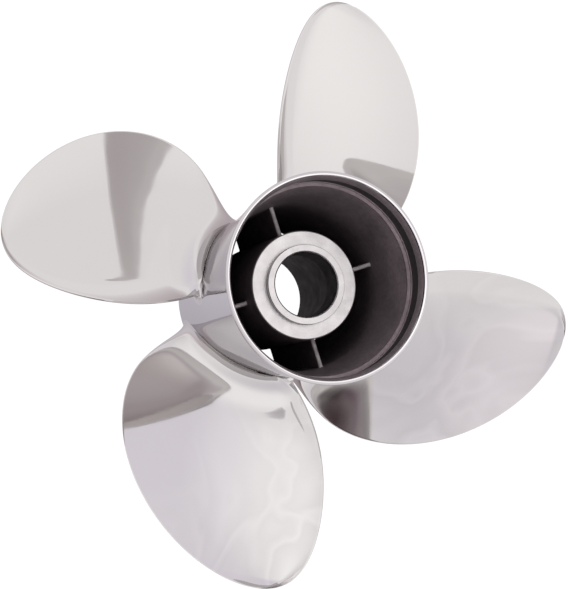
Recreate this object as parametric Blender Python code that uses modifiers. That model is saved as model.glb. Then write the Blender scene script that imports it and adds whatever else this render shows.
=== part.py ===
"""Four-blade outboard propeller, cast in stainless steel, with the exhaust passing through its hub.

The real thing is one casting. Its regions are modelled as separate solids, 0.3 mm apart.
Metres. +Z runs along the shaft, aft end up. The origin is on the axis, in the flat front face.
"""

import math

import bmesh
import bpy
from mathutils import Vector

# Driving dimensions
DIAMETER = 0.3556
BARREL_LENGTH = 0.1507
BLADES = 4
GAP = 0.0003

# Outer barrel: its outside, and where that is divided as shares of its length
FRONT_RADIUS = 0.0562
WAIST_RADIUS = 0.0545
WAIST_HEIGHT = 0.062
RIM_RADIUS = 0.0597
FLARE_POWER = 1.6
LIP_ROUNDING = 0.0009
OUTSIDE_SHARES = (1.0, 0.93, 0.85, 0.75, 0.64, 0.53, 0.42, 0.28, 0.14, 0.0)

# Inside of the barrel's mouth: each radius, and how deep below the aft rim it lies
RIM_INNER_RADIUS = 0.0573
LIP_EDGE_RADIUS, LIP_EDGE_DEPTH = 0.0559, 0.0057
GROOVE_RADIUS, GROOVE_START, GROOVE_END = 0.0571, 0.0065, 0.0170
STEP_RADIUS, LEDGE_DEPTH = 0.0567, 0.0187
LEDGE_RADIUS, LEDGE_THICKNESS = 0.0550, 0.0008
PASSAGE_AFT_RADIUS, PASSAGE_AFT_DEPTH = 0.0560, 0.0207
PASSAGE_RADIUS, PASSAGE_DEPTH = 0.0515, 0.0613
PASSAGE_FRONT_RADIUS = 0.0506

# Inner hub: a tube that carries the drive sleeve, closed at its aft end but for the shaft hole
HUB_HEIGHT = 0.1050
HUB_RECESS = 0.0020
HUB_AFT_RADIUS = 0.0326
HUB_FRONT_RADIUS = 0.0355
SLEEVE_BORE_RADIUS = 0.0304
SLEEVE_BORE_DEPTH = 0.0900
SHAFT_HOLE_RADIUS = 0.0196
COLLAR_RADIUS = 0.0239
COLLAR_HEIGHT = 0.0040
HUB_CHAMFER = 0.0004
HOLE_CHAMFER = 0.0006
COLLAR_CHAMFER = 0.0004

# Ribs between the inner hub and the barrel, thicker towards the front
RIBS = 4
RIB_ANGLE = math.radians(18.2)
RIB_TOP = 0.0890
RIB_RECESS = 0.0010
RIB_AFT_THICKNESS = 0.0028
RIB_FRONT_THICKNESS = 0.0048
RIB_ROUNDING = 0.0009

# Blades. A span value runs from 0 at the barrel to 1 at the tip.
SPAN_ZERO_RADIUS = 0.0560
PITCH = 0.403
PITCH_DROOP = 0.56
PITCH_PEAK_SPAN = 0.55
ROOT_WIDTH, MIDDLE_WIDTH, TIP_WIDTH = 0.0905, 0.1905, 0.2160
ROOT_ANGLE = math.radians(60.8)
SKEW = math.radians(18.8)
SKEW_POWER = 2.15
ROOT_HEIGHT = 0.0367
RAKE = 0.0571
RAKE_CURVE = 0.0137
ROOT_THICKNESS = 0.0105
TIP_THICKNESS = 0.0024
THINNING_POWER = 1.6
BELLY_POWER = 0.8
LEADING_THICKNESS = 0.0014
TRAILING_THICKNESS = 0.0020
CAMBER = 0.019
HOLLOW_POWER = 2.6
TWIST = 0.0104
UNTWISTED_SPAN = 0.4
CUP = 0.0031
CUP_START = 0.86
FULL_CUP_WIDTH = 0.05
FACE_FILLET = 0.0180
BACK_FILLET = 0.0080
LEADING_FILLET = 0.0095
TRAILING_FILLET = 0.0035
FILLET_FULLNESS = 0.45
FACE_REACH = 1.2
LEADING_REACH = 2.0
LOWEST_POINT = 0.0012
LAST_SECTION = math.radians(88.0)

# How far a guide or an uncut solid runs past the surface that it is cut at
SPARE = 0.004
GUIDE_END = 0.01
GUIDE_BORE = 0.03
BLADE_SINK = 0.006

# How finely the shapes are divided
BARREL_STEPS = 72
HUB_STEPS = 48
CHORD_STEPS = 16
FILLET_STEPS = 4
SPAN_STEPS = 20
ARC_STEPS = 3
SEAT_PASSES = 3
MERGE_DISTANCE = 0.00001

STEEL = ("polished_steel", (0.72, 0.70, 0.69), 0.08, 1.0)
PAINT = ("passage_black", (0.020, 0.018, 0.018), 0.45, 0.0)
MACHINED = ("machined_steel", (0.74, 0.72, 0.72), 0.30, 1.0)


def clear_scene():
    for thing in list(bpy.data.objects):
        bpy.data.objects.remove(thing, do_unlink=True)


def new_collection(name):
    collection = bpy.data.collections.new(name)
    bpy.context.scene.collection.children.link(collection)
    return collection


def principled(name, colour, roughness, metallic):
    material = bpy.data.materials.new(name)
    material.use_nodes = True
    shader = material.node_tree.nodes["Principled BSDF"]
    shader.inputs["Base Color"].default_value = (*colour, 1.0)
    shader.inputs["Roughness"].default_value = roughness
    shader.inputs["Metallic"].default_value = metallic
    return material


def object_from(mesh_tool, name, collection):
    mesh = bpy.data.meshes.new(name)
    mesh_tool.to_mesh(mesh)
    mesh_tool.free()
    thing = bpy.data.objects.new(name, mesh)
    collection.objects.link(thing)
    return thing


def smooth(thing, sharp_angle=35.0):
    thing.data.shade_smooth()
    thing.data.set_sharp_from_angle(angle=math.radians(sharp_angle))


def arc(centre_radius, centre_height, radius, start, end):
    """Points of a round corner of a profile, by angles in degrees from +radius."""
    points = []
    for step in range(ARC_STEPS + 1):
        angle = math.radians(start + (end - start) * step / ARC_STEPS)
        across = centre_radius + radius * math.cos(angle)
        along = centre_height + radius * math.sin(angle)
        points.append((across, along))
    return points


def turned(name, profile, steps, collection):
    """A closed profile of (radius, height) points, turned about Z."""
    tool = bmesh.new()
    corners = [tool.verts.new((radius, 0.0, height)) for radius, height in profile]
    for index, corner in enumerate(corners):
        tool.edges.new((corner, corners[(index + 1) % len(corners)]))
    thing = object_from(tool, name, collection)
    screw = thing.modifiers.new("turn", "SCREW")
    screw.axis = "Z"
    screw.angle = math.tau
    screw.steps = steps
    screw.render_steps = steps
    screw.use_merge_vertices = True
    screw.merge_threshold = MERGE_DISTANCE
    screw.use_smooth_shade = True
    return thing


def barrel_outside(offset=0.0):
    """The barrel's outside from the rim down to the front: a flare, a waist and a plain front."""
    points = []
    for share in OUTSIDE_SHARES:
        height = BARREL_LENGTH * share
        points.append((barrel_radius(height) + offset, height))
    return points


def barrel_radius(height):
    """Radius of the barrel's outside at a height above the front face."""
    if height < WAIST_HEIGHT:
        share = 1.0 - height / WAIST_HEIGHT
        return WAIST_RADIUS + (FRONT_RADIUS - WAIST_RADIUS) * share**2
    share = min((height - WAIST_HEIGHT) / (BARREL_LENGTH - WAIST_HEIGHT), 1.0)
    return WAIST_RADIUS + (RIM_RADIUS - WAIST_RADIUS) * share**FLARE_POWER


def outer_barrel(parts, steel):
    top = BARREL_LENGTH
    lip = arc(RIM_RADIUS - LIP_ROUNDING, top - LIP_ROUNDING, LIP_ROUNDING, 90, 0)
    outside = barrel_outside()[1:]
    inside = [
        (PASSAGE_FRONT_RADIUS, 0.0),
        (PASSAGE_RADIUS, top - PASSAGE_DEPTH),
        (PASSAGE_AFT_RADIUS, top - PASSAGE_AFT_DEPTH),
        (LEDGE_RADIUS, top - LEDGE_DEPTH - LEDGE_THICKNESS),
        (LEDGE_RADIUS, top - LEDGE_DEPTH),
        (STEP_RADIUS, top - LEDGE_DEPTH),
        (STEP_RADIUS, top - GROOVE_END),
        (GROOVE_RADIUS, top - GROOVE_END),
        (GROOVE_RADIUS, top - GROOVE_START),
        (LIP_EDGE_RADIUS, top - LIP_EDGE_DEPTH),
        (RIM_INNER_RADIUS, top - LIP_ROUNDING / 2),
        (RIM_INNER_RADIUS + LIP_ROUNDING / 2, top),
    ]
    barrel = turned("outer_barrel", lip + outside + inside, BARREL_STEPS, parts)
    barrel.data.materials.append(steel)
    return barrel


def inner_hub(parts, machined):
    collar_top = HUB_HEIGHT + COLLAR_HEIGHT
    profile = [
        (SHAFT_HOLE_RADIUS + HOLE_CHAMFER, collar_top),
        (COLLAR_RADIUS - COLLAR_CHAMFER, collar_top),
        (COLLAR_RADIUS, collar_top - COLLAR_CHAMFER),
        (COLLAR_RADIUS, HUB_HEIGHT),
        (HUB_AFT_RADIUS - HUB_CHAMFER, HUB_HEIGHT),
        (HUB_AFT_RADIUS, HUB_HEIGHT - HUB_CHAMFER),
        (HUB_FRONT_RADIUS, HUB_RECESS),
        (SLEEVE_BORE_RADIUS, HUB_RECESS),
        (SLEEVE_BORE_RADIUS, SLEEVE_BORE_DEPTH),
        (SHAFT_HOLE_RADIUS, SLEEVE_BORE_DEPTH),
        (SHAFT_HOLE_RADIUS, collar_top - HOLE_CHAMFER),
    ]
    hub = turned("inner_hub", profile, HUB_STEPS, parts)
    hub.data.materials.append(machined)
    return hub


def passage_guide(cutters):
    """The ring of space between the inner hub and the barrel, where the ribs are."""
    slope_hub = (HUB_FRONT_RADIUS - HUB_AFT_RADIUS) / (HUB_HEIGHT - HUB_CHAMFER - HUB_RECESS)
    slope_wall = (PASSAGE_RADIUS - PASSAGE_FRONT_RADIUS) / (BARREL_LENGTH - PASSAGE_DEPTH)

    def hub_radius(height):
        return HUB_FRONT_RADIUS - slope_hub * (height - HUB_RECESS) + GAP

    def wall_radius(height):
        return PASSAGE_FRONT_RADIUS + slope_wall * height - GAP

    low = -GUIDE_END
    high = RIB_TOP + SPARE
    profile = [
        (wall_radius(high), high),
        (wall_radius(low), low),
        (hub_radius(low), low),
        (hub_radius(high), high),
    ]
    guide = turned("passage_guide", profile, BARREL_STEPS, cutters)
    hide_guide(guide)
    return guide


def hide_guide(thing):
    thing.hide_render = True
    thing.display_type = "WIRE"


def rib(number, guide, parts, steel):
    """A tapered web, as long as the passage and cut to fit between the hub and the barrel."""
    tool = bmesh.new()
    bmesh.ops.create_cube(tool, size=1.0)
    inner, outer = HUB_AFT_RADIUS - SPARE, PASSAGE_RADIUS + SPARE
    for corner in tool.verts:
        at_top = corner.co.z > 0
        thickness = RIB_AFT_THICKNESS if at_top else RIB_FRONT_THICKNESS
        corner.co.x = outer if corner.co.x > 0 else inner
        corner.co.y = math.copysign(thickness / 2, corner.co.y)
        corner.co.z = RIB_TOP if at_top else RIB_RECESS
    middle = (RIB_TOP + RIB_RECESS) / 2
    top_edges = [edge for edge in tool.edges if all(v.co.z > middle for v in edge.verts)]
    long_edges = [edge for edge in top_edges if edge.verts[0].co.x != edge.verts[1].co.x]
    bmesh.ops.bevel(tool, geom=long_edges, offset=RIB_ROUNDING, segments=2, profile=0.5, affect="EDGES")
    web = object_from(tool, f"rib_{number}", parts)
    web.rotation_euler.z = RIB_ANGLE + math.tau * (number - 1) / RIBS
    fit = web.modifiers.new("fit_passage", "BOOLEAN")
    fit.operation = "INTERSECT"
    fit.object = guide
    web.data.materials.append(steel)
    return web


def span_of(radius):
    return (radius - SPAN_ZERO_RADIUS) / (DIAMETER / 2 - SPAN_ZERO_RADIUS)


def chord(radius):
    """Width of the blade along its helix, from three widths and a round tip."""
    span = span_of(radius)
    at_root = ROOT_WIDTH * (1 - span) * (1 - 2 * span)
    at_middle = MIDDLE_WIDTH * 4 * span * (1 - span)
    at_tip = TIP_WIDTH * span * (2 * span - 1)
    share = min(radius / (DIAMETER / 2), 1.0)
    return math.sqrt(1 - share**2) * (at_root + at_middle + at_tip)


def helix_angle(radius):
    pitch = PITCH * (1 - PITCH_DROOP * (span_of(radius) - PITCH_PEAK_SPAN) ** 2)
    return math.atan2(pitch, math.tau * radius)


def thickness(radius, share):
    """Blade thickness at a share of the chord, 0 at the leading edge and 1 at the trailing one."""
    span = min(max(span_of(radius), 0.0), 1.0)
    most = TIP_THICKNESS + (ROOT_THICKNESS - TIP_THICKNESS) * (1 - span) ** THINNING_POWER
    edge = LEADING_THICKNESS + (TRAILING_THICKNESS - LEADING_THICKNESS) * share
    return edge + (most - edge) * (4 * share * (1 - share)) ** BELLY_POWER


def face_height(radius, share):
    """How far the pressure face lies aft of its chord: flat at the root, hollow outwards, cupped."""
    span, width = span_of(radius), chord(radius)
    cup = max(0.0, (share - CUP_START) / (1 - CUP_START)) ** 2
    deepest = HOLLOW_POWER / (HOLLOW_POWER + 1)
    bend = (share / deepest) ** HOLLOW_POWER * (1 - share) / (1 - deepest)
    hollow = CAMBER * span * width * bend
    turned_up = TWIST * (span - UNTWISTED_SPAN) * width * (share - 0.5)
    return CUP * (cup - share) * min(1.0, width / FULL_CUP_WIDTH) - hollow + turned_up


def section_point(radius, index):
    """Point of the closed section as (along the helix, aft of it): first the face, then the back."""
    count = 2 * (CHORD_STEPS + 1)
    index %= count
    on_face = index <= CHORD_STEPS
    step = index if on_face else count - 1 - index
    share = 0.5 - 0.5 * math.cos(math.pi * step / CHORD_STEPS)
    height = face_height(radius, share)
    if not on_face:
        height -= thickness(radius, share)
    return (share - 0.5) * chord(radius), height


def outward(radius, index):
    """Outward direction of the closed section at one of its points."""
    before = section_point(radius, index - 1)
    after = section_point(radius, index + 1)
    return Vector((before[1] - after[1], after[0] - before[0])).normalized()


def fillet_size(index):
    """Root fillet radius at a section point: large on the face, small at the two edges."""
    share, bulge = fillet_place(index)
    side = FACE_FILLET if index <= CHORD_STEPS else BACK_FILLET
    edge = LEADING_FILLET + (TRAILING_FILLET - LEADING_FILLET) * share
    return edge + (side - edge) * bulge


def fillet_reach(index):
    """How much further the fillet runs out along the blade than up the barrel."""
    share, bulge = fillet_place(index)
    on_face = index <= CHORD_STEPS
    return 1 + (FACE_REACH - 1) * bulge * on_face + LEADING_REACH * (1 - share) ** 4


def fillet_place(index):
    """A section point's share of the chord, and a bulge that is 0 at both edges and 1 midway."""
    step = index if index <= CHORD_STEPS else 2 * CHORD_STEPS + 1 - index
    share = 0.5 - 0.5 * math.cos(math.pi * step / CHORD_STEPS)
    bulge = max(0.0, math.sin(math.pi * step / CHORD_STEPS)) ** FILLET_FULLNESS
    return share, bulge


def wrapped(radius, along, height):
    """A section point wrapped on the cylinder of its radius, as (angle, height above the front)."""
    span = span_of(radius)
    middle_angle = ROOT_ANGLE + SKEW * max(span, 0.0) ** SKEW_POWER
    middle_height = ROOT_HEIGHT + RAKE * span + RAKE_CURVE * span * abs(span)
    lean = helix_angle(radius)
    round_way = along * math.cos(lean) - height * math.sin(lean)
    up_way = along * math.sin(lean) + height * math.cos(lean)
    return middle_angle + round_way / radius, middle_height + up_way


def placed(turn, radius, index, spread):
    """A section point, moved outward in its section by spread, in the part's own axes."""
    along, height = Vector(section_point(radius, index)) + outward(radius, index) * spread
    angle, up = wrapped(radius, along, height)
    return Vector((radius * math.cos(angle + turn), radius * math.sin(angle + turn), max(up, LOWEST_POINT)))


def seated(turn, lift, index, spread):
    """A section point at lift above the barrel's outside, and the radius at which that is."""
    radius = SPAN_ZERO_RADIUS
    for _ in range(SEAT_PASSES):
        point = placed(turn, radius, index, spread)
        radius = barrel_radius(point.z) + lift
    return placed(turn, radius, index, spread), radius


def blade_rings(turn):
    """Rings from inside the barrel, through the root fillet, out to the tip."""
    tip = DIAMETER / 2
    places = range(2 * (CHORD_STEPS + 1))
    rings = [[seated(turn, -BLADE_SINK, index, fillet_size(index))[0] for index in places]]
    starts = []
    for step in range(FILLET_STEPS + 1):
        bend = math.radians(90) * step / FILLET_STEPS
        lift, widening = 1 - math.cos(bend), 1 - math.sin(bend)
        found = []
        for index in places:
            size = fillet_size(index)
            found.append(seated(turn, size * fillet_reach(index) * lift, index, size * widening))
        rings.append([point for point, radius in found])
        starts = [radius for point, radius in found]
    for step in range(1, SPAN_STEPS + 1):
        share = math.sin(LAST_SECTION * step / SPAN_STEPS)
        ring = []
        for index, start in enumerate(starts):
            ring.append(placed(turn, start + (tip - start) * share, index, 0.0))
        rings.append(ring)
    return rings


def blade(number, guide, parts, steel):
    """A helical blade: rings of one section each, joined, then cut to sit on the barrel."""
    rings = blade_rings(math.tau * (number - 1) / BLADES)
    tool = bmesh.new()
    loops = [[tool.verts.new(point) for point in ring] for ring in rings]
    for inner_loop, outer_loop in zip(loops, loops[1:]):
        for index, corner in enumerate(inner_loop):
            after = (index + 1) % len(inner_loop)
            tool.faces.new((corner, inner_loop[after], outer_loop[after], outer_loop[index]))
    for loop in (loops[0], loops[-1]):
        for index in range(CHORD_STEPS):
            tool.faces.new((loop[index], loop[index + 1], loop[-2 - index], loop[-1 - index]))
    bmesh.ops.recalc_face_normals(tool, faces=tool.faces)
    thing = object_from(tool, f"blade_{number}", parts)
    smooth(thing)
    seat = thing.modifiers.new("barrel_seat", "BOOLEAN")
    seat.operation = "DIFFERENCE"
    seat.object = guide
    thing.data.materials.append(steel)
    return thing


def barrel_guide(cutters):
    """A solid plug the size of the barrel and its gap, to seat the blades on."""
    outside = barrel_outside(GAP)
    top, bottom = outside[0], outside[-1]
    high, low = top[1] + GUIDE_END, bottom[1] - GUIDE_END
    profile = [(GUIDE_BORE, high), (top[0], high)] + outside
    profile += [(bottom[0], low), (GUIDE_BORE, low)]
    guide = turned("barrel_guide", profile, BARREL_STEPS, cutters)
    hide_guide(guide)
    return guide


def build():
    clear_scene()
    parts = new_collection("outboard_propeller")
    cutters = new_collection("cutters")
    steel = principled(*STEEL)
    paint = principled(*PAINT)
    machined = principled(*MACHINED)
    outer_barrel(parts, steel)
    inner_hub(parts, machined)
    passage = passage_guide(cutters)
    for number in range(1, RIBS + 1):
        rib(number, passage, parts, paint)
    seat = barrel_guide(cutters)
    for number in range(1, BLADES + 1):
        blade(number, seat, parts, steel)


build()
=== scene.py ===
"""Looks of a four-blade stainless outboard propeller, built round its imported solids.

Metres. +Z is the shaft axis with the aft end up, and the propeller stands on its barrel's front
face. On a blade, span runs from 0 at the barrel to 1 at the tip, and share from 0 at the leading
edge to 1 at the trailing edge.
"""

import math

import bpy
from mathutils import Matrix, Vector

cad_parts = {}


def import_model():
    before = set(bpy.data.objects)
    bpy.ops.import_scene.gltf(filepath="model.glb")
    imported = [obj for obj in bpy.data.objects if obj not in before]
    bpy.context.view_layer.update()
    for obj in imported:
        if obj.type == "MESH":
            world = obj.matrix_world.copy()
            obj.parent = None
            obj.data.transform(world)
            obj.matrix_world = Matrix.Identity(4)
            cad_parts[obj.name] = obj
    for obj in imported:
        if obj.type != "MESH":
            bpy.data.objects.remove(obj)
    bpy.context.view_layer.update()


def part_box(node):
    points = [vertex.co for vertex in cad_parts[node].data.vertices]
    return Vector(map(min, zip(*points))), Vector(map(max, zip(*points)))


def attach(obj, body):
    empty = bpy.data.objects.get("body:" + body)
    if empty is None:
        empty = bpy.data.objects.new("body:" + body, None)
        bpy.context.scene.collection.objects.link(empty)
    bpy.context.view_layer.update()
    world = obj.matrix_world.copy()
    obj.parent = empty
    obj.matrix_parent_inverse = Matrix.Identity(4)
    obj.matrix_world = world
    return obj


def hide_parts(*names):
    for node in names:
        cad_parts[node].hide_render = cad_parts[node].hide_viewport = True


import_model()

# Driving dimensions that the frame gives
_, BARREL_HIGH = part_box("outer_barrel")
HUB_LOW, HUB_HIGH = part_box("inner_hub")
BARREL_LENGTH = BARREL_HIGH.z
RIM_RADIUS = BARREL_HIGH.x
HUB_RECESS = HUB_LOW.z
HUB_FRONT_RADIUS = HUB_HIGH.x

# Barrel
FRONT_RADIUS = 0.0562
WAIST_RADIUS = 0.0545
WAIST_HEIGHT = 0.062
FLARE_POWER = 1.6
LIP_ROUNDING = 0.0009

# Inside of the barrel's mouth: each radius, and how deep below the aft rim it lies
RIM_INNER_RADIUS = 0.0573
LIP_EDGE_RADIUS, LIP_EDGE_DEPTH = 0.0559, 0.0057
GROOVE_RADIUS, GROOVE_START, GROOVE_END = 0.0571, 0.0065, 0.0170
STEP_RADIUS, LEDGE_DEPTH = 0.0567, 0.0187
LEDGE_RADIUS, LEDGE_THICKNESS = 0.0550, 0.0008
PASSAGE_AFT_RADIUS, PASSAGE_AFT_DEPTH = 0.0560, 0.0207
PASSAGE_RADIUS, PASSAGE_DEPTH = 0.0515, 0.0613
PASSAGE_FRONT_RADIUS = 0.0506

# Inner hub
COLLAR_HEIGHT = 0.0040
HUB_HEIGHT = HUB_HIGH.z - COLLAR_HEIGHT
HUB_AFT_RADIUS = 0.0326
SLEEVE_BORE_RADIUS = 0.0304
SLEEVE_BORE_DEPTH = 0.0900
SHAFT_HOLE_RADIUS = 0.0196
COLLAR_RADIUS = 0.0239
HUB_CHAMFER = 0.0004
HOLE_CHAMFER = 0.0006
COLLAR_CHAMFER = 0.0002

# Coats of paint: how far they stand proud and are buried, and how far from the parts' ends they
# stop. The mouth's coat ends at a share of the way from the rim's inner edge to the lip's edge.
COAT = 0.00015
COAT_END_SHARE = 0.12
COAT_INSET = 0.0004
BORE_COAT_DEPTH = 1.1 * HOLE_CHAMFER

# Ribs
RIBS = 4
RIB_ANGLE = math.radians(18.2)
RIB_TOP = 0.0890
RIB_RECESS = 0.0010
RIB_AFT_THICKNESS = 0.0028
RIB_FRONT_THICKNESS = 0.0048
RIB_FILLET = 0.0012
RIB_SINK = 0.0004

# Blades
BLADES = 4
TIP_RADIUS = 0.1777
SPAN_ZERO_RADIUS = 0.0560
PITCH = 0.403
PITCH_DROOP = 0.56
PITCH_PEAK_SPAN = 0.55
ROOT_WIDTH, MIDDLE_WIDTH, TIP_WIDTH = 0.0905, 0.1905, 0.2160
ROOT_ANGLE = math.radians(60.8)
SKEW = math.radians(18.8)
SKEW_POWER = 2.15
ROOT_HEIGHT = 0.0367
RAKE = 0.0571
RAKE_CURVE = 0.0137
ROOT_THICKNESS = 0.0105
TIP_THICKNESS = 0.0024
THINNING_POWER = 1.6
BELLY_POWER = 0.8
LEADING_THICKNESS = 0.0014
TRAILING_THICKNESS = 0.0020
LEADING_ROUNDING = 0.0012
TRAILING_ROUNDING = 0.0007
ROUNDING_POWER = 3
CAMBER = 0.019
HOLLOW_POWER = 2.6
TWIST = 0.0104
UNTWISTED_SPAN = 0.4
CUP = 0.0031
CUP_START = 0.86
FULL_CUP_WIDTH = 0.05

# Root fillets: their radii round the section, how many times its radius a fillet runs out along the
# pressure face, what is added to that at the leading edge, and the blade's end in the barrel
FACE_FILLET = 0.0180
BACK_FILLET = 0.0080
LEADING_FILLET = 0.0095
TRAILING_FILLET = 0.0035
FILLET_FULLNESS = 0.45
FACE_REACH = 1.4
LEADING_REACH = 2.0
LEADING_REACH_POWER = 4
ROOT_SINK = 0.0006
SUNK_SPREAD = 1.06

# Camera, worked out from the photograph's blades and rim
CAMERA_AT = (-0.1842, -0.0584, 0.6625)
CAMERA_TURN = (math.radians(5.125), math.radians(-17.104), 0.0)
CAMERA_LENS = 60.28
SENSOR = 36.0

# Noises that spread two colours, greys or roughnesses: scale, detail, low end and high end
BLADE_TONES = (9.0, 2.0, (0.655, 0.640, 0.630), (0.675, 0.660, 0.650))
# The barrel is the same steel as the blades, made darker here as painted shade for the dimmer light
# it reflects
BARREL_SHADED_TONES = (9.0, 2.0, (0.562, 0.546, 0.554), (0.592, 0.576, 0.584))
HUB_TONES = (160.0, 5.0, (0.655, 0.635, 0.630), (0.775, 0.755, 0.750))
# The bore's paint is a far darker copy of the passage paint: painted shade
SHADED_BORE_TONES = (45.0, 4.0, (0.0022, 0.0018, 0.0018), (0.0044, 0.0036, 0.0036))
PAINT_MOTTLE = (45.0, 4.0, 0.75, 1.20)
PAINT_DUST = (420.0, 3.0, 0.86, 1.16)
RIB_MOTTLE = (200.0, 4.0, 0.70, 1.30)
FLOOR_TONES = (3.0, 2.0, 0.02, 0.03)
SHADOW_TONES = (3.0, 2.0, 0.004, 0.006)
STEEL_ROUGHNESS = (60.0, 4.0, 0.035, 0.075)
HUB_ROUGHNESS = (90.0, 3.0, 0.27, 0.39)
PAINT_ROUGHNESS = (140.0, 4.0, 0.50, 0.64)

# Noises that raise the surface: scale, detail and depth
STEEL_RIPPLE = (28.0, 1.0, 0.00008)
HUB_GRAIN = (900.0, 4.0, 0.00012)
PAINT_GRAIN = (420.0, 3.0, 0.00006)

# Steel: its tint where it is seen edge on, and how bright the painted highlight along the inner
# edge of the lip is
EDGE_TINT = (0.80, 0.79, 0.79, 1.0)
BARREL_EDGE_TINT = (0.81, 0.80, 0.82, 1.0)
LIP_GLINT = 1.75
GLINT_WIDTH = 0.0008
GLINT_FADE = 0.0003

# Polishing streaks: the side where they are strongest, and over which distances that way they
# come in. Scale, detail and distortion of the noise that draws them, and its values' brightness.
SWIRL_SIDE = (0.6, -0.8, 0.0)
SWIRL_SPAN = (0.03, 0.14)
SWIRL_NOISE = (7.0, 2.5, 1.8)
SWIRL_LEVELS = (
    (0.36, 1.05), (0.42, 0.98), (0.47, 1.08), (0.50, 0.97),
    (0.56, 1.02), (0.61, 1.08), (0.66, 0.98),
)

# Paint: its colour deep down and near the mouth, darker deep down as painted shade, between which
# shares of the barrel's length it changes, and how bright its bands are by depth below the rim:
# painted highlights on the lit edges of the mouth's steps, and painted shade in the groove under
# the lip and below the ledge
PAINT_SHADED_DEEP, PAINT_LIT_AFT = (0.088, 0.070, 0.075), (0.180, 0.148, 0.156)
PAINT_SHADE_FADE = (0.45, 0.90)
BAND_DEPTH = 0.030
PAINT_LIGHT_BANDS = (
    (0.0258, 1.00), (0.0224, 1.00), (0.0216, 0.40), (0.0196, 0.40), (0.0192, 1.90), (0.0184, 1.90),
    (0.0183, 0.80), (0.0173, 0.80), (0.0171, 1.80), (0.0168, 1.80), (0.0166, 0.10), (0.0066, 0.10),
    (0.0060, 0.80), (0.0054, 0.80), (0.0050, 0.60), (0.0016, 0.80),
)
BORE_SHEEN = 0.10
RIB_EDGE = (0.68, 0.63, 0.63)
RIB_WEAR = 0.0012

# Painted shade in the corner round the hub's collar, by distance outwards from the collar's radius
COLLAR_SHADE_REACH = 0.0020
COLLAR_SHADE = (
    (-0.00015, 1.0), (-0.00008, 0.35), (0.00005, 0.35), (0.00015, 0.90), (0.00160, 1.0),
)

# Studio. A lobe of the sky: azimuth, elevation and reach in degrees, and the light it adds or
# takes. A shade on the ground: its middle, its two radii, and the light. A shade's fading runs from
# 0 at its edge to 1 in its middle, and the shade is whole where that is over SHADE_CORE.
SKY_LIGHT = (1.03, 1.01, 1.02)
SKY_LOBES = (
    (-15.0, 33.0, 42.0, (0.19, 0.19, 0.18)),
    (138.0, 38.0, 36.0, (0.18, 0.18, 0.19)),
    (127.0, 3.0, 24.0, (-0.15, -0.15, -0.15)),
    (-150.0, 40.0, 42.0, (-0.22, -0.23, -0.19)),
    (88.0, 24.0, 32.0, (-0.11, -0.13, -0.06)),
    (-120.0, 80.0, 35.0, (0.20, 0.16, 0.18)),
)
GROUND_LIGHT = (1.06, 1.03, 1.05)
GROUND_SHADES = (
    (-0.08, -0.04, 0.46, 0.46, (-0.41, -0.45, -0.44)),
    (-0.02, -0.25, 0.16, 0.26, (-0.50, -0.47, -0.49)),
    (0.36, -0.26, 0.44, 0.20, (-0.50, -0.49, -0.49)),
    (-0.05, -0.43, 0.14, 0.12, (-0.38, -0.38, -0.38)),
    (0.09, -0.34, 0.12, 0.12, (-0.20, -0.20, -0.20)),
    (0.05, -0.245, 0.06, 0.07, (0.09, 0.075, 0.08)),
    (0.12, -0.24, 0.07, 0.07, (-0.08, -0.10, -0.09)),
    (-0.21, 0.07, 0.13, 0.12, (0.40, 0.40, 0.40)),
    (-0.065, -0.012, 0.075, 0.075, (0.15, 0.18, 0.21)),
    (-0.45, -0.50, 0.35, 0.35, (-0.22, -0.24, -0.22)),
)
SHADE_CORE = 0.7
FLOOR_ROUGHNESS = 0.9
FLOOR_GLOW = 1.02

# How far the floor and its card reach to each side, and how high the cards lie
FLOOR_SIZE = 30.0
CARD_HEIGHT = 0.0002

WHITE = (1.0, 1.0, 1.0, 1.0)
BLACK = (0.0, 0.0, 0.0, 1.0)

# How finely the shapes are divided, and how often a point is moved to sit on the barrel. A blade's
# last ring lies at the sine of its angle, as a share of the way out to the tip.
ROUND_STEPS = 256
BARREL_STEPS = 48
PASSAGE_STEPS = 8
RIB_STATIONS = 24
RIB_STEPS = 10
CHORD_STEPS = 56
FILLET_STEPS = 14
SPAN_STEPS = 56
CORNER_STEPS = 6
SEATING_PASSES = 3
LAST_RING = math.radians(89.3)
SMOOTH_ANGLE = math.radians(35.0)


def mesh_piece(name, points, faces, material):
    mesh = bpy.data.meshes.new(name)
    mesh.from_pydata(points, [], faces)
    mesh.validate()
    piece = bpy.data.objects.new(name, mesh)
    bpy.context.scene.collection.objects.link(piece)
    mesh.materials.append(material)
    return piece


def dress(piece, slot, *nodes):
    """Smooths a piece, ties it to the frame's root body, and hides the CAD nodes that it stands
    for.
    """
    piece.data.shade_smooth()
    piece.data.set_sharp_from_angle(angle=SMOOTH_ANGLE)
    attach(piece, "root")
    if nodes:
        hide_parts(*nodes)
    return piece


def evenly(start, end, steps):
    """Evenly spaced numbers from start to end, both included."""
    return [start + (end - start) * (step / steps) for step in range(steps + 1)]


def arc(across, along, radius, start, end):
    """Points of a round corner in a (radius, height) profile, by angles in degrees."""
    points = []
    for step in range(CORNER_STEPS + 1):
        angle = math.radians(start + (end - start) * step / CORNER_STEPS)
        points.append((across + radius * math.cos(angle), along + radius * math.sin(angle)))
    return points


def strip(low, high, count, flipped=False):
    """Quads between two closed rings of count points, whose first points are low and high."""
    faces = []
    for index in range(count):
        after = (index + 1) % count
        quad = (low + index, low + after, high + after, high + index)
        faces.append((quad[0], *quad[:0:-1]) if flipped else quad)
    return faces


def turned(name, profile, material):
    """A closed profile of (radius, height) points, clockwise from the top, turned about Z."""
    points = []
    for step in range(ROUND_STEPS):
        angle = math.tau * step / ROUND_STEPS
        points += [(r * math.cos(angle), r * math.sin(angle), z) for r, z in profile]
    count = len(profile)
    faces = []
    for step in range(ROUND_STEPS):
        faces += strip(step * count, (step + 1) % ROUND_STEPS * count, count)
    return mesh_piece(name, points, faces, material)


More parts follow.
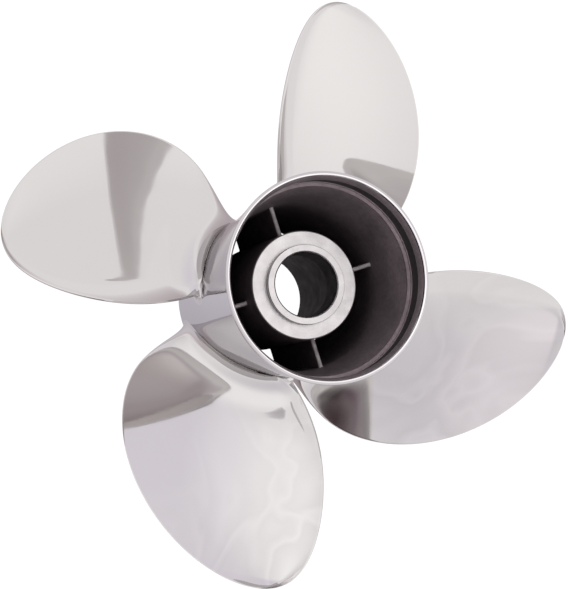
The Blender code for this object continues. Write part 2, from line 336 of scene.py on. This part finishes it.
def barrel_radius(height):
    """Radius of the barrel's outside at a height above the front face."""
    if height < WAIST_HEIGHT:
        share = 1.0 - height / WAIST_HEIGHT
        return WAIST_RADIUS + (FRONT_RADIUS - WAIST_RADIUS) * share**2
    share = min((height - WAIST_HEIGHT) / (BARREL_LENGTH - WAIST_HEIGHT), 1.0)
    return WAIST_RADIUS + (RIM_RADIUS - WAIST_RADIUS) * share**FLARE_POWER


def passage_radius(height):
    """Radius of the passage's wall, up to the ledge in its mouth."""
    turn = BARREL_LENGTH - PASSAGE_DEPTH
    if height < turn:
        return PASSAGE_FRONT_RADIUS + (PASSAGE_RADIUS - PASSAGE_FRONT_RADIUS) * height / turn
    share = (height - turn) / (PASSAGE_DEPTH - PASSAGE_AFT_DEPTH)
    return PASSAGE_RADIUS + (PASSAGE_AFT_RADIUS - PASSAGE_RADIUS) * share


def hub_radius(height):
    """Radius of the inner hub's outside, which tapers from front to aft."""
    share = (height - HUB_RECESS) / (HUB_HEIGHT - HUB_RECESS)
    return HUB_FRONT_RADIUS + (HUB_AFT_RADIUS - HUB_FRONT_RADIUS) * share


def mouth_profile(inward):
    """The barrel's inside from the front up to its lip, moved inward by the thickness of a coat."""
    top = BARREL_LENGTH
    turn = top - PASSAGE_DEPTH
    heights = evenly(0.0, turn, PASSAGE_STEPS)
    heights += evenly(turn, top - PASSAGE_AFT_DEPTH, PASSAGE_STEPS)[1:]
    profile = [(passage_radius(height) - inward, height) for height in heights]
    profile += [
        (LEDGE_RADIUS - inward, top - LEDGE_DEPTH - LEDGE_THICKNESS),
        (LEDGE_RADIUS - inward, top - LEDGE_DEPTH + inward),
        (STEP_RADIUS - inward, top - LEDGE_DEPTH + inward),
        (STEP_RADIUS - inward, top - GROOVE_END + inward),
        (GROOVE_RADIUS - inward, top - GROOVE_END + inward),
        (GROOVE_RADIUS - inward, top - GROOVE_START - inward),
        (LIP_EDGE_RADIUS - inward, top - LIP_EDGE_DEPTH - inward),
        (LIP_EDGE_RADIUS - inward, top - LIP_EDGE_DEPTH + inward),
    ]
    return profile


def barrel(steel):
    """The polished shell: outside, front face, bare mouth with its two steps, and rounded lip."""
    round_top = BARREL_LENGTH - LIP_ROUNDING
    profile = arc(RIM_RADIUS - LIP_ROUNDING, round_top, LIP_ROUNDING, 90, 0)
    for step in range(1, BARREL_STEPS):
        height = round_top * (1 - step / BARREL_STEPS)
        profile.append((barrel_radius(height), height))
    profile += arc(FRONT_RADIUS - LIP_ROUNDING, LIP_ROUNDING, LIP_ROUNDING, 0, -90)
    # Without a coat, the last two points of the mouth are the same one
    profile += mouth_profile(0.0)[:-1]
    profile += arc(RIM_INNER_RADIUS + LIP_ROUNDING, round_top, LIP_ROUNDING, 180, 90)
    return dress(turned("barrel", profile, steel), "polished_steel", "outer_barrel")


def coat_shell(name, outside, inside, paint):
    """A thin layer between two profiles that run the same way."""
    return dress(turned(name, outside + inside[::-1], paint), "passage_black")


def passage_coat(paint):
    """Black paint over the whole inside, thinning out on the flare just below the lip."""
    share = COAT_END_SHARE
    end_depth = LIP_EDGE_DEPTH * share + LIP_ROUNDING * (1 - share)
    end_radius = LIP_EDGE_RADIUS * share + RIM_INNER_RADIUS * (1 - share)
    end_height = BARREL_LENGTH - end_depth
    buried = mouth_profile(-COAT) + [(end_radius + COAT, end_height)]
    shown = mouth_profile(COAT) + [(end_radius - COAT, end_height)]
    return coat_shell("passage_coat", buried[::-1], shown[::-1], paint)


def hub_coats(paint, shaded_bore_paint):
    """Paint round the inner hub, and in its bore with the shoulder between its two radii."""
    low, high = HUB_RECESS + COAT_INSET, HUB_HEIGHT - HUB_CHAMFER
    shown = [(hub_radius(z) + COAT, z) for z in (high, low)]
    buried = [(hub_radius(z) - COAT, z) for z in (high, low)]
    coat_shell("hub_coat", shown, buried, paint)
    path = [
        (SHAFT_HOLE_RADIUS, HUB_HIGH.z - BORE_COAT_DEPTH, 0.0),
        (SHAFT_HOLE_RADIUS, SLEEVE_BORE_DEPTH, COAT),
        (SLEEVE_BORE_RADIUS, SLEEVE_BORE_DEPTH, COAT),
        (SLEEVE_BORE_RADIUS, low, 0.0),
    ]
    buried = [(r + COAT, z + away) for r, z, away in path]
    shown = [(r - COAT, z - away) for r, z, away in path]
    coat_shell("bore_coat", buried, shown, shaded_bore_paint)


def hub(machined):
    """The inner hub: collar, aft face, tapered outside, sleeve bore and shaft hole."""
    collar_top = HUB_HIGH.z
    profile = [
        (SHAFT_HOLE_RADIUS + HOLE_CHAMFER, collar_top),
        (COLLAR_RADIUS - COLLAR_CHAMFER, collar_top),
        (COLLAR_RADIUS, collar_top - COLLAR_CHAMFER),
        (COLLAR_RADIUS, HUB_HEIGHT),
        (HUB_AFT_RADIUS - HUB_CHAMFER, HUB_HEIGHT),
        (HUB_AFT_RADIUS, HUB_HEIGHT - HUB_CHAMFER),
        (HUB_FRONT_RADIUS, HUB_RECESS),
        (SLEEVE_BORE_RADIUS, HUB_RECESS),
        (SLEEVE_BORE_RADIUS, SLEEVE_BORE_DEPTH),
        (SHAFT_HOLE_RADIUS, SLEEVE_BORE_DEPTH),
        (SHAFT_HOLE_RADIUS, collar_top - HOLE_CHAMFER),
    ]
    return dress(turned("hub", profile, machined), "machined_steel", "inner_hub")


def rib_ring(share):
    """A web's section at a share of the way from hub to barrel: (radius, across, height) points."""
    side = []
    for height in evenly(RIB_TOP, RIB_RECESS, RIB_STEPS):
        inner = hub_radius(height) - RIB_SINK
        outer = passage_radius(height) + RIB_SINK
        radius = inner + (outer - inner) * share
        part = (height - RIB_RECESS) / (RIB_TOP - RIB_RECESS)
        half = (RIB_FRONT_THICKNESS + (RIB_AFT_THICKNESS - RIB_FRONT_THICKNESS) * part) / 2
        into_fillet = max(0.0, RIB_FILLET - min(radius - inner, outer - radius))
        swell = RIB_FILLET - math.sqrt(max(0.0, RIB_FILLET**2 - into_fillet**2))
        side.append((radius, half + swell, height))
    radius, half, height = side.pop(0)
    rise = min(half, RIB_AFT_THICKNESS / 2)
    ring = []
    for step in range(CORNER_STEPS * 2 + 1):
        angle = math.pi * step / (CORNER_STEPS * 2)
        ring.append((radius, half * math.cos(angle), height - rise + rise * math.sin(angle)))
    ring += [(r, -h, z) for r, h, z in side]
    ring += [(r, h, z) for r, h, z in reversed(side)]
    return ring


def rib(number, paint):
    """A tapered web with a round aft edge, swelling into the hub and the barrel at its two ends."""
    turn = RIB_ANGLE + math.tau * (number - 1) / RIBS
    rings = [rib_ring(share) for share in evenly(0.0, 1.0, RIB_STATIONS)]
    points = []
    for ring in rings:
        for radius, across, height in ring:
            x = radius * math.cos(turn) - across * math.sin(turn)
            y = radius * math.sin(turn) + across * math.cos(turn)
            points.append((x, y, height))
    count = len(rings[0])
    last = len(points) - count
    faces = []
    for low in range(0, last, count):
        faces += strip(low, low + count, count)
    faces.append(tuple(reversed(range(count))))
    faces.append(tuple(range(last, last + count)))
    web = mesh_piece(f"web_{number}", points, faces, paint)
    return dress(web, "passage_black", f"rib_{number}")


def span_of(radius):
    return (radius - SPAN_ZERO_RADIUS) / (TIP_RADIUS - SPAN_ZERO_RADIUS)


def full_width(radius):
    """Width of the blade's helical section before the tip's rounding."""
    span = span_of(radius)
    at_root = ROOT_WIDTH * (1 - span) * (1 - 2 * span)
    at_middle = MIDDLE_WIDTH * 4 * span * (1 - span)
    at_tip = TIP_WIDTH * span * (2 * span - 1)
    return at_root + at_middle + at_tip


def chord(radius):
    """Width of the section, with the tip rounded off."""
    return full_width(radius) * math.sqrt(max(0.0, 1 - (radius / TIP_RADIUS) ** 2))


def helix_angle(radius):
    """Slope of the helix. Its pitch is largest at one span, and less on both sides of it."""
    pitch = PITCH * (1 - PITCH_DROOP * (span_of(radius) - PITCH_PEAK_SPAN) ** 2)
    return math.atan2(pitch, math.tau * radius)


def edge_round(distance, size):
    """How much of the thickness is left at a distance from a rounded edge."""
    if distance >= size:
        return 1.0
    inside = 1 - max(distance, 0.0) / size
    return (1 - inside**ROUNDING_POWER) ** (1 / ROUNDING_POWER)


def edge_distance(radius, share):
    """Distance to the outline of the blade, chordwise and towards the tip taken together."""
    width = chord(radius)
    across = min(share, 1 - share) * width
    offset = abs(share - 0.5) * width
    bulge = min(1.0, 2 * offset / full_width(radius))
    towards_tip = max(TIP_RADIUS * math.sqrt(1 - bulge**2) - radius, 0.0)
    if across <= 0.0 or towards_tip <= 0.0:
        return 0.0
    return across * towards_tip / math.hypot(across, towards_tip)


def plain_thickness(radius, share):
    """Thickness of the blade before its edges are rounded."""
    span = min(max(span_of(radius), 0.0), 1.0)
    most = TIP_THICKNESS + (ROOT_THICKNESS - TIP_THICKNESS) * (1 - span) ** THINNING_POWER
    edge = LEADING_THICKNESS + (TRAILING_THICKNESS - LEADING_THICKNESS) * share
    return edge + (most - edge) * (4 * share * (1 - share)) ** BELLY_POWER


def face_height(radius, share):
    """How far aft of its chord the pressure face lies: flat at the root, hollow further out."""
    span, width = span_of(radius), chord(radius)
    cup = max(0.0, (share - CUP_START) / (1 - CUP_START)) ** 2
    deepest = HOLLOW_POWER / (HOLLOW_POWER + 1)
    bend = (share / deepest) ** HOLLOW_POWER * (1 - share) / (1 - deepest)
    hollow = CAMBER * span * width * bend
    turned_up = TWIST * (span - UNTWISTED_SPAN) * width * (share - 0.5)
    return CUP * (cup - share) * min(1.0, width / FULL_CUP_WIDTH) - hollow + turned_up


def section_place(place):
    """A place round the section, in steps from its leading edge: is it on the pressure face, how
    many steps from the leading edge, and at what share of the width."""
    count = 2 * CHORD_STEPS
    place %= count
    on_face = place <= CHORD_STEPS
    step = place if on_face else count - place
    return on_face, step, 0.5 - 0.5 * math.cos(math.pi * step / CHORD_STEPS)


def section_point(radius, place):
    """Point of the closed section as (along the helix, aft of it)."""
    on_face, _, share = section_place(place)
    size = LEADING_ROUNDING + (TRAILING_ROUNDING - LEADING_ROUNDING) * share
    whole = plain_thickness(radius, share)
    left = whole * edge_round(edge_distance(radius, share), size)
    height = face_height(radius, share) - (whole - left) / 2
    if not on_face:
        height -= left
    return (share - 0.5) * chord(radius), height


def outward(radius, place):
    """Direction out of the section at a place, in its own plane."""
    before = section_point(radius, place - 1)
    after = section_point(radius, place + 1)
    return Vector((before[1] - after[1], after[0] - before[0])).normalized()


def fillet_bulge(step):
    """0 at the blade's two edges, 1 in the middle of its width."""
    return max(0.0, math.sin(math.pi * step / CHORD_STEPS)) ** FILLET_FULLNESS


def fillet_size(place):
    """Root fillet radius round the section: large on the face, small at the two edges."""
    on_face, step, share = section_place(place)
    side = FACE_FILLET if on_face else BACK_FILLET
    edge = LEADING_FILLET + (TRAILING_FILLET - LEADING_FILLET) * share
    return edge + (side - edge) * fillet_bulge(step)


def fillet_reach(place):
    """How many times its radius the fillet runs out along the blade."""
    on_face, step, share = section_place(place)
    bulge = fillet_bulge(step) if on_face else 0.0
    return 1 + (FACE_REACH - 1) * bulge + LEADING_REACH * (1 - share) ** LEADING_REACH_POWER


def wrapped(radius, along, height):
    """A section point wrapped on the cylinder of its radius, as (angle, height above the front)."""
    span = span_of(radius)
    middle_angle = ROOT_ANGLE + SKEW * max(span, 0.0) ** SKEW_POWER
    middle_height = ROOT_HEIGHT + RAKE * span + RAKE_CURVE * span * abs(span)
    lean = helix_angle(radius)
    round_way = along * math.cos(lean) - height * math.sin(lean)
    up_way = along * math.sin(lean) + height * math.cos(lean)
    return middle_angle + round_way / radius, middle_height + up_way


def blade_vertex(turn, radius, place, spread, lift):
    """A point at lift above the barrel if radius is None, or else at that radius. spread moves it
    out of the section. Returns the radius where it lies, and the point."""
    seat = SPAN_ZERO_RADIUS if radius is None else radius
    for _ in range(SEATING_PASSES):
        along, height = section_point(seat, place)
        if spread:
            normal = outward(seat, place)
            along += normal.x * spread
            height += normal.y * spread
        angle, up = wrapped(seat, along, height)
        up = max(up, LIP_ROUNDING)
        if radius is not None:
            break
        seat = barrel_radius(up) + lift
    return seat, (seat * math.cos(angle + turn), seat * math.sin(angle + turn), up)


def blade_rings(turn):
    """Rings round the blade: down in the barrel, up the root fillet, and out to the tip."""
    places = range(2 * CHORD_STEPS)
    sizes = [fillet_size(place) for place in places]
    ring = []
    for place in places:
        ring.append(blade_vertex(turn, None, place, sizes[place] * SUNK_SPREAD, -ROOT_SINK)[1])
    rings = [ring]
    for step in range(FILLET_STEPS + 1):
        bend = math.radians(90) * step / FILLET_STEPS
        seated = []
        for place in places:
            spread = sizes[place] * (1 - math.sin(bend))
            lift = sizes[place] * fillet_reach(place) * (1 - math.cos(bend))
            seated.append(blade_vertex(turn, None, place, spread, lift))
        rings.append([point for _, point in seated])
    for step in range(1, SPAN_STEPS + 1):
        share = math.sin(LAST_RING * step / SPAN_STEPS)
        ring = []
        for place, (seat, _) in enumerate(seated):
            radius = seat + (TIP_RADIUS - seat) * share
            ring.append(blade_vertex(turn, radius, place, 0.0, 0.0)[1])
        rings.append(ring)
    return rings


def blade(number, steel):
    """One blade, closed at its tip and at its end in the barrel."""
    rings = blade_rings(math.tau * (number - 1) / BLADES)
    points = [point for ring in rings for point in ring]
    count = 2 * CHORD_STEPS
    last = len(points) - count
    faces = []
    for low in range(0, last, count):
        faces += strip(low, low + count, count, flipped=True)
    for low, inner_end in ((0, True), (last, False)):
        for index in range(CHORD_STEPS):
            # The cap's first and last faces are triangles, so a corner named twice is dropped
            quad = [index, index + 1, count - index - 1, (count - index) % count]
            quad = [low + corner for corner in dict.fromkeys(quad)]
            faces.append(tuple(quad if inner_end else quad[::-1]))
    piece = mesh_piece(f"polished_blade_{number}", points, faces, steel)
    return dress(piece, "polished_steel", f"blade_{number}")


def node_material(name):
    material = bpy.data.materials.new(name)
    material.use_nodes = True
    tree = material.node_tree
    return material, tree, tree.nodes["Principled BSDF"]


def feed(tree, value, socket):
    """Sets a plain colour or vector on a socket, and links anything else to it."""
    if isinstance(value, tuple):
        socket.default_value = value
    else:
        tree.links.new(value, socket)


def combined(tree, first, operation, second):
    """Two colours or vectors put together by one of Blender's vector operations."""
    node = tree.nodes.new("ShaderNodeVectorMath")
    node.operation = operation
    feed(tree, first, node.inputs[0])
    feed(tree, second, node.inputs[1])
    return node.outputs["Value" if operation == "DOT_PRODUCT" else "Vector"]


def blended(tree, share, low, high):
    """One colour where the share is 0, another where it is 1."""
    node = tree.nodes.new("ShaderNodeMix")
    node.data_type = "RGBA"
    pins = {pin.identifier: pin for pin in node.inputs}
    feed(tree, share, pins["Factor_Float"])
    feed(tree, low, pins["A_Color"])
    feed(tree, high, pins["B_Color"])
    return next(pin for pin in node.outputs if pin.identifier == "Result_Color")


def within(tree, value, start, end):
    """How far a value is from start to end, held between 0 and 1."""
    node = tree.nodes.new("ShaderNodeMapRange")
    node.inputs["From Min"].default_value = start
    node.inputs["From Max"].default_value = end
    tree.links.new(value, node.inputs["Value"])
    return node.outputs["Result"]


def ramp(tree, value, low, high, start=0.3, end=0.7):
    """Two colours, or two greys, spread over a span of a value."""
    node = tree.nodes.new("ShaderNodeValToRGB")
    marks = node.color_ramp.elements
    marks[0].position, marks[1].position = start, end
    for mark, tone in ((marks[0], low), (marks[1], high)):
        red, green, blue = tone if isinstance(tone, tuple) else (tone, tone, tone)
        mark.color = (red, green, blue, 1.0)
    tree.links.new(value, node.inputs["Fac"])
    return node.outputs["Color"]


def levels(tree, value, stops):
    """Greys at (position, grey) stops along a value, and white at 0 and at 1."""
    colour = ramp(tree, value, 1.0, 1.0, 0.0, 1.0)
    marks = colour.node.color_ramp.elements
    for position, grey in stops:
        marks.new(position).color = (grey, grey, grey, 1.0)
    return colour


def object_place(tree):
    """The point that is shaded, in object space, which is the frame's."""
    return tree.nodes.new("ShaderNodeTexCoord").outputs["Object"]


def up_the_axis(tree):
    """Height above the front face, as a share of the barrel's length."""
    split = tree.nodes.new("ShaderNodeSeparateXYZ")
    share = tree.nodes.new("ShaderNodeMath")
    share.operation = "DIVIDE"
    share.inputs[1].default_value = BARREL_LENGTH
    tree.links.new(object_place(tree), split.inputs["Vector"])
    tree.links.new(split.outputs["Z"], share.inputs[0])
    return share.outputs["Value"]


def off_the_axis(tree):
    """Distance from the shaft axis in metres."""
    flat = combined(tree, object_place(tree), "MULTIPLY", (1.0, 1.0, 0.0))
    length = tree.nodes.new("ShaderNodeVectorMath")
    length.operation = "LENGTH"
    tree.links.new(flat, length.inputs[0])
    return length.outputs["Value"]


def noise(tree, scale, detail, distortion=0.0):
    """Noise in object space, so it stays on the metal from every side."""
    texture = tree.nodes.new("ShaderNodeTexNoise")
    texture.inputs["Scale"].default_value = scale
    texture.inputs["Detail"].default_value = detail
    texture.inputs["Distortion"].default_value = distortion
    tree.links.new(object_place(tree), texture.inputs["Vector"])
    return texture.outputs["Fac"]


def mottled(tree, spread):
    """Two colours, greys or roughnesses spread by a noise."""
    scale, detail, low, high = spread
    return ramp(tree, noise(tree, scale, detail), low, high)


def surface(tree, shader, tone, roughness, relief=None):
    """Gives a shader its colour, its uneven roughness, and a relief where there is one."""
    tree.links.new(tone, shader.inputs["Base Color"])
    tree.links.new(mottled(tree, roughness), shader.inputs["Roughness"])
    if relief:
        scale, detail, depth = relief
        bump = tree.nodes.new("ShaderNodeBump")
        bump.inputs["Distance"].default_value = depth
        tree.links.new(noise(tree, scale, detail), bump.inputs["Height"])
        tree.links.new(bump.outputs["Normal"], shader.inputs["Normal"])


def polishing_swirls(tree):
    """Wavy paler streaks left by the polishing wheel, most of all on the last two blades."""
    side = combined(tree, object_place(tree), "DOT_PRODUCT", SWIRL_SIDE)
    swirls = levels(tree, noise(tree, *SWIRL_NOISE), SWIRL_LEVELS)
    return blended(tree, within(tree, side, *SWIRL_SPAN), WHITE, swirls)


def painted_lip_glint(tree, tone):
    """Paints a highlight along the inner edge of the barrel's lip, by brightening a colour there.
    """
    start = RIM_INNER_RADIUS + GLINT_WIDTH
    outside = within(tree, off_the_axis(tree), start, start + GLINT_FADE)
    glint = ramp(tree, outside, LIP_GLINT, 1.0, 0.0, 1.0)
    above = within(tree, up_the_axis(tree), 1 - LIP_ROUNDING / BARREL_LENGTH, 1.0)
    return blended(tree, above, tone, combined(tree, tone, "MULTIPLY", glint))


def polished_steel(name, tones, edge_tint, with_lip_glint=False):
    """Mirror-polished cast stainless: nearly flawless, with a faint hand-polished ripple."""
    material, tree, shader = node_material(name)
    tone = combined(tree, mottled(tree, tones), "MULTIPLY", polishing_swirls(tree))
    # The barrel's steel carries a painted highlight along the inner edge of its lip
    if with_lip_glint:
        tone = painted_lip_glint(tree, tone)
    surface(tree, shader, tone, STEEL_ROUGHNESS, STEEL_RIPPLE)
    shader.inputs["Metallic"].default_value = 1.0
    shader.inputs["Specular Tint"].default_value = edge_tint
    return material


def machined_steel():
    """Bright satin face of the inner hub, with painted shade in the corner round its collar."""
    material, tree, shader = node_material("machined_steel")
    low, high = COLLAR_RADIUS - COLLAR_SHADE_REACH, COLLAR_RADIUS + COLLAR_SHADE_REACH
    stops = [(0.5 + 0.5 * offset / COLLAR_SHADE_REACH, grey) for offset, grey in COLLAR_SHADE]
    # Painted shade: the corner at the foot of the collar is darkened
    painted_shade = levels(tree, within(tree, off_the_axis(tree), low, high), stops)
    tone = combined(tree, mottled(tree, HUB_TONES), "MULTIPLY", painted_shade)
    surface(tree, shader, tone, HUB_ROUGHNESS, HUB_GRAIN)
    shader.inputs["Metallic"].default_value = 1.0
    return material


def passage_black():
    """Thin satin black paint over cast steel, mottled and dusty. Its colour carries painted shade,
    darker deep down and paler towards the mouth, and painted highlights and shade in bands along
    the mouth's steps.
    """
    material, tree, shader = node_material("passage_black")
    height = up_the_axis(tree)
    tone = ramp(tree, height, PAINT_SHADED_DEEP, PAINT_LIT_AFT, *PAINT_SHADE_FADE)
    # Painted highlights on the lit step edges and painted shade in the groove and below the ledge
    near_mouth = within(tree, height, 1 - BAND_DEPTH / BARREL_LENGTH, 1.0)
    stops = [(1 - depth / BAND_DEPTH, grey) for depth, grey in PAINT_LIGHT_BANDS]
    tone = combined(tree, tone, "MULTIPLY", levels(tree, near_mouth, stops))
    dusty = combined(tree, mottled(tree, PAINT_MOTTLE), "MULTIPLY", mottled(tree, PAINT_DUST))
    tone = combined(tree, tone, "MULTIPLY", dusty)
    surface(tree, shader, tone, PAINT_ROUGHNESS, PAINT_GRAIN)
    return material


def rib_paint():
    """The same paint on the ribs, worn to grey along their aft edges."""
    material, tree, shader = node_material("rib_paint")
    start, end = (RIB_TOP - RIB_WEAR) / BARREL_LENGTH, RIB_TOP / BARREL_LENGTH
    # The ribs' paint starts from the paint's darker deep colour, which carries painted shade
    tone = ramp(tree, up_the_axis(tree), PAINT_SHADED_DEEP, RIB_EDGE, start, end)
    tone = combined(tree, tone, "MULTIPLY", mottled(tree, RIB_MOTTLE))
    surface(tree, shader, tone, PAINT_ROUGHNESS)
    return material


def shaded_bore_black():
    """The paint in the hub's bore, made far darker than the other paint as painted shade, against
    the light that reaches the bore from both ends.
    """
    material, tree, shader = node_material("shaded_bore_black")
    surface(tree, shader, mottled(tree, SHADED_BORE_TONES), PAINT_ROUGHNESS)
    shader.inputs["Specular IOR Level"].default_value = BORE_SHEEN
    return material


def square(reach, height):
    corners = ((-reach, -reach), (reach, -reach), (reach, reach), (-reach, reach))
    return [(x, y, height) for x, y in corners]


def floor():
    """A lit white table, plain and pale all round the propeller."""
    material, tree, shader = node_material("pale_floor")
    tree.links.new(mottled(tree, FLOOR_TONES), shader.inputs["Base Color"])
    shader.inputs["Roughness"].default_value = FLOOR_ROUGHNESS
    shader.inputs["Emission Color"].default_value = WHITE
    shader.inputs["Emission Strength"].default_value = FLOOR_GLOW
    mesh_piece("floor", square(FLOOR_SIZE, 0.0), [(0, 1, 2, 3)], material)


def changed(tree, light, amount, value, start, end):
    """Adds an amount of light where a value is high, or takes it away if the amount is negative."""
    share = ramp(tree, value, 0.0, tuple(abs(part) for part in amount), start, end)
    return combined(tree, light, "ADD" if amount[0] > 0 else "SUBTRACT", share)


def reflected_ground():
    """What the polished steel sees of the table: the propeller's own soft shade on it."""
    material, tree, shader = node_material("reflected_ground")
    place = object_place(tree)
    light = GROUND_LIGHT
    for x, y, wide, deep, amount in GROUND_SHADES:
        mapping = tree.nodes.new("ShaderNodeMapping")
        mapping.vector_type = "TEXTURE"
        mapping.inputs["Location"].default_value = (x, y, 0.0)
        mapping.inputs["Scale"].default_value = (wide, deep, 1.0)
        fade = tree.nodes.new("ShaderNodeTexGradient")
        fade.gradient_type = "SPHERICAL"
        tree.links.new(place, mapping.inputs["Vector"])
        tree.links.new(mapping.outputs["Vector"], fade.inputs["Vector"])
        light = changed(tree, light, amount, fade.outputs["Fac"], 0.0, SHADE_CORE)
    tree.links.new(light, shader.inputs["Emission Color"])
    shader.inputs["Emission Strength"].default_value = 1.0
    shader.inputs["Base Color"].default_value = BLACK
    shader.inputs["Specular IOR Level"].default_value = 0.0
    card = mesh_piece("card_ground", square(FLOOR_SIZE, CARD_HEIGHT), [(0, 1, 2, 3)], material)
    card.visible_camera = False
    card.visible_diffuse = False
    card.visible_shadow = False


def barrel_shadow():
    """Darkness under the passages, where no light reaches the table. The camera doesn't see it."""
    material, tree, shader = node_material("barrel_shadow")
    tree.links.new(mottled(tree, SHADOW_TONES), shader.inputs["Base Color"])
    shader.inputs["Specular IOR Level"].default_value = 0.0
    points = []
    for radius in (SLEEVE_BORE_RADIUS, FRONT_RADIUS):
        for step in range(ROUND_STEPS):
            turn = math.tau * step / ROUND_STEPS
            points.append((radius * math.cos(turn), radius * math.sin(turn), 2 * CARD_HEIGHT))
    faces = strip(0, ROUND_STEPS, ROUND_STEPS, flipped=True)
    card = mesh_piece("card_shadow", points, faces, material)
    card.visible_camera = False


def world():
    """A soft white studio, a little brighter and dimmer towards a few sides."""
    studio = bpy.data.worlds.new("studio")
    studio.use_nodes = True
    tree = studio.node_tree
    towards_sky = tree.nodes.new("ShaderNodeTexCoord").outputs["Generated"]
    light = SKY_LIGHT
    for azimuth, elevation, reach, amount in SKY_LOBES:
        turn, rise = math.radians(azimuth), math.radians(elevation)
        middle = (math.cos(rise) * math.cos(turn), math.cos(rise) * math.sin(turn), math.sin(rise))
        facing = combined(tree, towards_sky, "DOT_PRODUCT", middle)
        light = changed(tree, light, amount, facing, math.cos(math.radians(reach)), 1.0)
    tree.links.new(light, tree.nodes["Background"].inputs["Color"])
    bpy.context.scene.world = studio


def camera():
    lens = bpy.data.cameras.new("photo_camera")
    lens.lens = CAMERA_LENS
    lens.sensor_width = SENSOR
    lens.sensor_fit = "AUTO"
    thing = bpy.data.objects.new("photo_camera", lens)
    thing.location = CAMERA_AT
    thing.rotation_euler = CAMERA_TURN
    bpy.context.scene.collection.objects.link(thing)
    bpy.context.scene.camera = thing


def build():
    steel = polished_steel("polished_steel", BLADE_TONES, EDGE_TINT)
    # A darker copy of the polished steel for the barrel, as painted shade, with a painted highlight
    # on its lip
    shaded_barrel_steel = polished_steel("shaded_barrel_steel", BARREL_SHADED_TONES, BARREL_EDGE_TINT, with_lip_glint=True)
    machined, paint = machined_steel(), passage_black()
    worn_paint, shaded_bore_paint = rib_paint(), shaded_bore_black()
    barrel(shaded_barrel_steel)
    passage_coat(paint)
    hub(machined)
    hub_coats(paint, shaded_bore_paint)
    for number in range(1, RIBS + 1):
        rib(number, worn_paint)
    for number in range(1, BLADES + 1):
        blade(number, steel)
    floor()
    reflected_ground()
    barrel_shadow()
    world()
    camera()
    bpy.context.scene.view_settings.view_transform = "Standard"


build()
